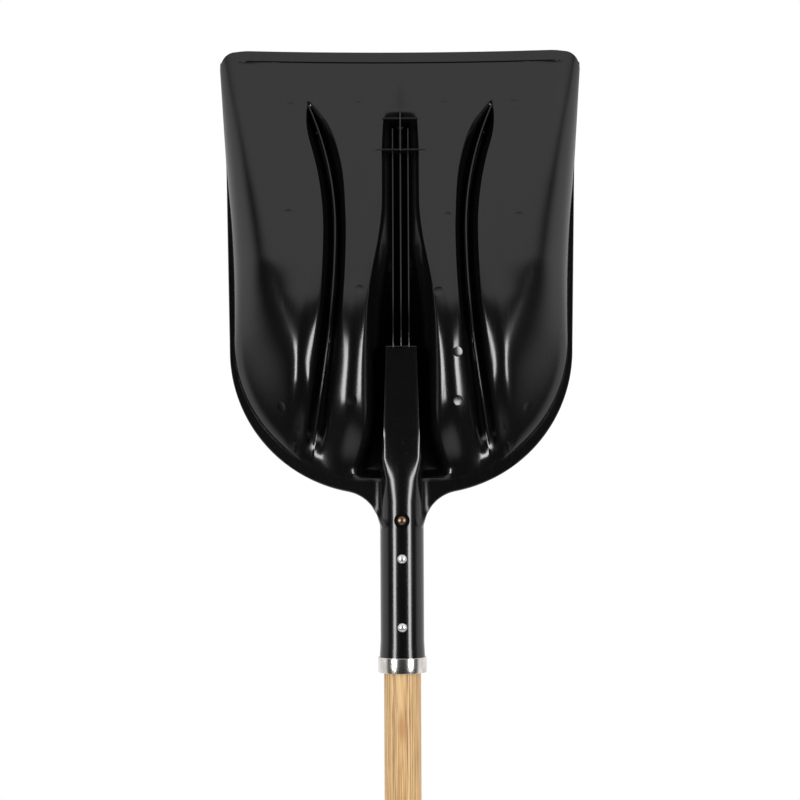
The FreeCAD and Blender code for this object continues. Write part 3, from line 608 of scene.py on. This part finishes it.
# Socket: the round, tapered tube of the same moulding that takes the stick, with its closed end in
# the spine's hollow, a deep round seat for the screw and shallow seats for the rivets and washers.
def turned(corners, steps=96):
    """Half outline of radii and heights, turned about the handle's axis."""
    bm = bmesh.new()
    points = [bm.verts.new((radius, 0, height)) for radius, height in corners]
    lines = [bm.edges.new(pair) for pair in zip(points, points[1:])]
    bmesh.ops.spin(bm, geom=points + lines, cent=(0, 0, 0), axis=(0, 0, 1), angle=math.tau,
                   steps=steps, use_merge=True)
    bmesh.ops.remove_doubles(bm, verts=bm.verts, dist=0.001)
    bmesh.ops.recalc_face_normals(bm, faces=bm.faces)
    return bm


def cut_by(piece, cutter):
    """Piece with a cutter's shape taken out of it."""
    cut = piece.modifiers.new("cut", "BOOLEAN")
    cut.operation = "DIFFERENCE"
    cut.solver = "EXACT"
    cut.object = cutter
    seen = piece.evaluated_get(bpy.context.evaluated_depsgraph_get())
    mesh = bpy.data.meshes.new_from_object(seen)
    piece.modifiers.clear()
    old, piece.data = piece.data, mesh
    bpy.data.meshes.remove(old)
    bpy.data.objects.remove(cutter)


def plug_across(bm, radius, start, end, height):
    """Round plug along Y, between two distances from the handle's axis."""
    middle = Matrix.Translation((0, (start + end) / 2, height)) @ Matrix.Rotation(math.pi / 2, 4, "X")
    bmesh.ops.create_cone(bm, cap_ends=True, segments=48, radius1=radius, radius2=radius,
                          depth=end - start, matrix=middle)


TUBE, TUBE_END, MOUTH_RADIUS = 22.4, 17.4, 23.4
MOUTH = 975.2
RIVETS = {"lower": 1021, "upper": 1091}
SEAT, WASHER_TOP = 21.6, 22.9
SCREW_HEIGHT, SCREW_SEAT = 1130, 19.95
BORE, BORE_END, BORE_TOP, CLOSED_END = 18.95, 13.95, 1300.25, 1308.25
SQUARE_START, SQUARE_LENGTH = 1180, 50
bm = turned([(0, BORE_TOP), (BORE_END, BORE_TOP), (BORE, 1150), (BORE, MOUTH), (MOUTH_RADIUS, MOUTH),
             (MOUTH_RADIUS, 988.2), (TUBE, 1006.2), (TUBE, 1060), (TUBE, 1150), (21.7, 1172), (21, 1194),
             (20, 1226), (TUBE_END, CLOSED_END), (0, CLOSED_END)])
round_edges(bm, 0.8)
for vert in bm.verts:
    # The closed end turns from round to a rounded square in the spine.
    square = ease((vert.co.z - SQUARE_START) / SQUARE_LENGTH)
    reach = math.hypot(vert.co.x, vert.co.y)
    if square and reach:
        power = 2 + 38 * square
        ways = abs(vert.co.x / reach) ** power + abs(vert.co.y / reach) ** power
        grow = ways ** (-1 / power) * (1 - 0.08 * square)
        vert.co.x *= grow
        vert.co.y *= grow
socket = finish_mesh(bm, "scoop_socket", 40)
bm = bmesh.new()
CLEAR, SCREW_PLUG, HEAD_PLUG, WASHER_PLUG = 40, 8, 5.3, 6.5
plug_across(bm, SCREW_PLUG, -CLEAR, -SCREW_SEAT, SCREW_HEIGHT)
for height in RIVETS.values():
    plug_across(bm, HEAD_PLUG, -CLEAR, -SEAT, height)
    plug_across(bm, WASHER_PLUG, SEAT, CLEAR, height)
cut_by(socket, finish_mesh(bm, "socket_cutter"))
for face in socket.data.polygons:
    face.use_smooth = True
socket.data.set_sharp_from_angle(angle=math.radians(30))
hold(socket, plastic, "blade_plastic", "blade")


# Handle: one straight ash stick, turned and sanded, with its butt rounded over; its upper end is
# turned down and tapered to fill the socket.
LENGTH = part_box("handle")[1].z * 1000
STICK, TENON, TENON_TOP, TAPER = 19, 18.7, 13.7, 150
bm = turned([(0, 0), (9, 0), (12.8, 0.8), (16.1, 2.9), (18.2, 6.2), (STICK, 10), (STICK, 320), (STICK, 640),
             (STICK, 973.4), (TENON, 973.6), (TENON, LENGTH - TAPER), (TENON_TOP, LENGTH), (0, LENGTH)])
stick = finish_mesh(bm, "ash_stick", 35)
ash, shader, wires, place = new_material("ash_wood")
parts = wires.node("ShaderNodeSeparateXYZ", None, {0: place})
across = Wire(wires.tree, parts.socket.node.outputs[0])
deep = Wire(wires.tree, parts.socket.node.outputs[1])
sway = stretched(wires, place, (14, 14, 1.1), Scale=1.0, Detail=2.0)
ripple = stretched(wires, place, (60, 60, 7), Scale=1.0, Detail=3.0)
from_pith = across * across + (deep + 0.006) * (deep + 0.006)
figure = from_pith * 26000 + sway * 19 + ripple * 2.2 + across * 120
ring = wires.math("FRACT", figure)
fine = stretched(wires, place, (1500, 1500, 22), Scale=1.0, Detail=3.0)
pores = stretched(wires, place, (2300, 2300, 60), Scale=1.0, Detail=1.0)
band = ring.smooth(0.0, 0.75) - ring.smooth(0.8, 1.0)
tone = band * 0.55 + fine.smooth(0.34, 0.66) * 0.62 - 0.12
color = tone.node("ShaderNodeValToRGB", {"stops": [(0.0, (0.7, 0.475, 0.24)), (0.45, (0.56, 0.35, 0.15)),
                                                   (1.0, (0.26, 0.13, 0.045))]}, {0: tone})
flecks = pores.smooth(0.64, 0.7) * band.smooth(0.2, 0.8)
color = (flecks * 0.6).mix(color, (0.3, 0.15, 0.06, 1))
spot = wires.node("ShaderNodeMapping", None, {0: place, 1: (0.1, 0.76, -41.3), 3: (150, 40, 45)})
spot = wires.node("ShaderNodeVectorMath", {"operation": "LENGTH"}, {0: spot}, 1)
stain = 1.0 - (spot + ripple * 0.8).smooth(0.5, 1.5)
color = (stain * 0.75).mix(color, (0.4, 0.19, 0.07, 1))
rough = 0.42 + fine * 0.2 + flecks * 0.15
relief = fine * 0.5 - flecks * 0.8 - band * 0.2
paint(wires, shader, color, rough, relief, 0.25, 0.0004)
hold(stick, ash, "handle_wood", "handle")


# Ferrule: a turned-in ring of polished steel sheet, pressed over the socket's mouth.
RING_IN, RING_SEAT, RING_OUT = 18.9, 23.6, 25
RING_LOW, RING_HIGH = 973.8, 989.6
bm = turned([(RING_IN, RING_LOW), (RING_OUT, RING_LOW), (RING_OUT, RING_HIGH), (RING_SEAT, RING_HIGH),
             (RING_SEAT, MOUTH), (RING_IN, MOUTH), (RING_IN, RING_LOW)], 128)
round_edges(bm, 0.5)
ferrule = finish_mesh(bm, "steel_ferrule", 40)
polished, shader, wires, place = new_material("polished_steel")
rubbed = stretched(wires, place, (80, 80, 2600), Scale=1.0, Detail=3.0)
stains = stretched(wires, place, (110, 110, 70), Scale=1.0, Detail=4.0)
color = stains.smooth(0.35, 0.75).mix((0.78, 0.76, 0.74, 1), (0.6, 0.56, 0.52, 1))
rough = 0.1 + rubbed * 0.12 + stains * 0.08
shader.inputs["Metallic"].default_value = 1.0
paint(wires, shader, color, rough, rubbed, 0.08, 0.0002)
hold(ferrule, polished, "ferrule_steel", "ferrule")


# Rivets: two steel rivets through the socket and the stick, with domed heads at the back, and flat
# washers under their peened ends at the front.
def turned_across(corners, height, steps=48):
    """Half outline turned about an axis along Y at a height on the handle's axis."""
    bm = turned(corners, steps)
    turn = Matrix.Translation((0, 0, height)) @ Matrix.Rotation(-math.pi / 2, 4, "X")
    bmesh.ops.transform(bm, matrix=turn, verts=bm.verts)
    return bm


def dome(radius, height, base, way, count=7):
    """Corners of a dome from its rim to its middle."""
    ball = (radius ** 2 + height ** 2) / (2 * height)
    reach = math.asin(radius / ball)
    angles = [reach * (1 - step / count) for step in range(count + 1)]
    return [(ball * math.sin(a), base + way * (ball * math.cos(a) - ball + height)) for a in angles]


zinc, shader, wires, place = new_material("bright_rivet_steel")
dents = stretched(wires, place, (700, 700, 700), Scale=1.0, Detail=3.0)
color = dents.smooth(0.3, 0.8).mix((0.8, 0.79, 0.77, 1), (0.62, 0.6, 0.57, 1))
rough = 0.26 + dents * 0.16
shader.inputs["Metallic"].default_value = 1.0
paint(wires, shader, color, rough, dents, 0.15, 0.0003)

brushed, shader, wires, place = new_material("brushed_washer_steel")
lines = stretched(wires, place, (2400, 2400, 260), Scale=1.0, Detail=2.0)
color = lines.smooth(0.3, 0.7).mix((0.6, 0.6, 0.6, 1), (0.45, 0.45, 0.46, 1))
rough = 0.28 + lines * 0.15
shader.inputs["Metallic"].default_value = 1.0
paint(wires, shader, color, rough, lines, 0.2, 0.0002)

for name, height in RIVETS.items():
    head = list(reversed(dome(5, 2.8, -SEAT, -1)))
    corners = head + [(2.4, -SEAT), (2.4, WASHER_TOP)] + dome(3.8, 1.8, WASHER_TOP, 1)
    bm = turned_across(corners, height)
    round_edges(bm, 0.2, 2, 0.9)
    rivet = finish_mesh(bm, f"rivet_{name}_steel", 40)
    hold(rivet, zinc, "rivet_steel", f"rivet_{name}")
    bm = turned_across([(2.5, SEAT), (6.2, SEAT), (6.2, WASHER_TOP), (2.5, WASHER_TOP), (2.5, SEAT)], height)
    round_edges(bm, 0.25, 2)
    washer = finish_mesh(bm, f"washer_{name}_steel", 40)
    hold(washer, brushed, "washer_steel", f"washer_{name}")


# Screw: a domed bronze-coloured steel screw at the bottom of the round seat, through the socket's wall
# into the stick.
head = list(reversed(dome(4.8, 1.8, -SCREW_SEAT, -1)))
bm = turned_across(head + [(2, -SCREW_SEAT), (2, 6.05), (0, 10.05)], SCREW_HEIGHT)
round_edges(bm, 0.2, 2, 0.9)
screw = finish_mesh(bm, "domed_screw", 40)
bronze, shader, wires, place = new_material("bronzed_screw")
wear = stretched(wires, place, (500, 500, 500), Scale=1.0, Detail=4.0)
color = wear.smooth(0.35, 0.7).mix((0.28, 0.175, 0.11, 1), (0.13, 0.08, 0.05, 1))
rough = 0.22 + wear * 0.25
shader.inputs["Metallic"].default_value = 1.0
paint(wires, shader, color, rough, wear, 0.2, 0.0003)
hold(screw, bronze, "screw_steel", "socket_screw")


# Studio: a pale floor under the butt, a white room above and behind, two tall soft lights in front,
# and a long lens at the height of the socket.
bm = bmesh.new()
bmesh.ops.create_circle(bm, cap_ends=True, segments=96, radius=1800)
bmesh.ops.translate(bm, vec=(0, 500, -1), verts=bm.verts)
ground = finish_mesh(bm, "pale_floor")
pale, shader, wires, place = new_material("pale_floor_paint")
cloud = stretched(wires, place, (3, 3, 3), Scale=1.0, Detail=3.0)
color = cloud.mix((0.82, 0.82, 0.82, 1), (0.86, 0.86, 0.86, 1))
wires.tree.links.new(color.socket, shader.inputs["Base Color"])
shader.inputs["Roughness"].default_value = 0.6
ground.data.materials.append(pale)
ground.visible_glossy = False

room = bpy.data.worlds.new("studio_room")
bpy.context.scene.world = room
room.use_nodes = True
wires = Wire(room.node_tree)
way = wires.node("ShaderNodeTexCoord", output=0)
parts = wires.node("ShaderNodeSeparateXYZ", None, {0: way})
behind = Wire(wires.tree, parts.socket.node.outputs[1]).smooth(-0.36, 0.0)
aside = wires.math("ABSOLUTE", Wire(wires.tree, parts.socket.node.outputs[0]))
above = (Wire(wires.tree, parts.socket.node.outputs[2]) + aside * 0.17).smooth(0.53, 0.64)
seen = wires.node("ShaderNodeLightPath")
bright = wires.math("MAXIMUM", behind, above)
under = 1.0 - Wire(wires.tree, parts.socket.node.outputs[2]).smooth(-0.8, -0.68)
bright = wires.math("MAXIMUM", bright, under)
bright = wires.math("MAXIMUM", bright * 0.95 + 0.02, seen)
shade = room.node_tree.nodes["Background"]
wires.tree.links.new(bright.socket, shade.inputs["Strength"])
shade.inputs["Color"].default_value = (1, 1, 1, 1)

LIGHT_WIDE, LIGHT_TALL, LIGHT_POWER = 0.5, 1.3, 31
LIGHT_ACROSS, LIGHT_AHEAD, LIGHT_HEIGHT, LIGHT_TURN = 1.41, -1.69, 1.2, math.radians(40)
for sign in (1, -1):
    data = bpy.data.lights.new(f"tall_light_{sign}", "AREA")
    data.shape = "RECTANGLE"
    data.size = LIGHT_WIDE
    data.size_y = LIGHT_TALL
    data.energy = LIGHT_POWER
    light = bpy.data.objects.new(data.name, data)
    light.location = (sign * LIGHT_ACROSS, LIGHT_AHEAD, LIGHT_HEIGHT)
    light.rotation_euler = (math.pi / 2, 0, sign * LIGHT_TURN)
    bpy.context.scene.collection.objects.link(light)

lens = bpy.data.cameras.new("long_lens")
lens.sensor_width = 36
lens.lens = 113.9
camera = bpy.data.objects.new("long_lens", lens)
CAMERA_PLACE, CAMERA_ROLL = (-0.0014, -2.6, 1.253), math.radians(-0.25)
view = Matrix.Translation(CAMERA_PLACE) @ Matrix.Rotation(math.pi / 2, 4, "X")
camera.matrix_world = view @ Matrix.Rotation(CAMERA_ROLL, 4, "Z")
bpy.context.scene.collection.objects.link(camera)
bpy.context.scene.camera = camera
bpy.context.scene.view_settings.view_transform = "Standard"
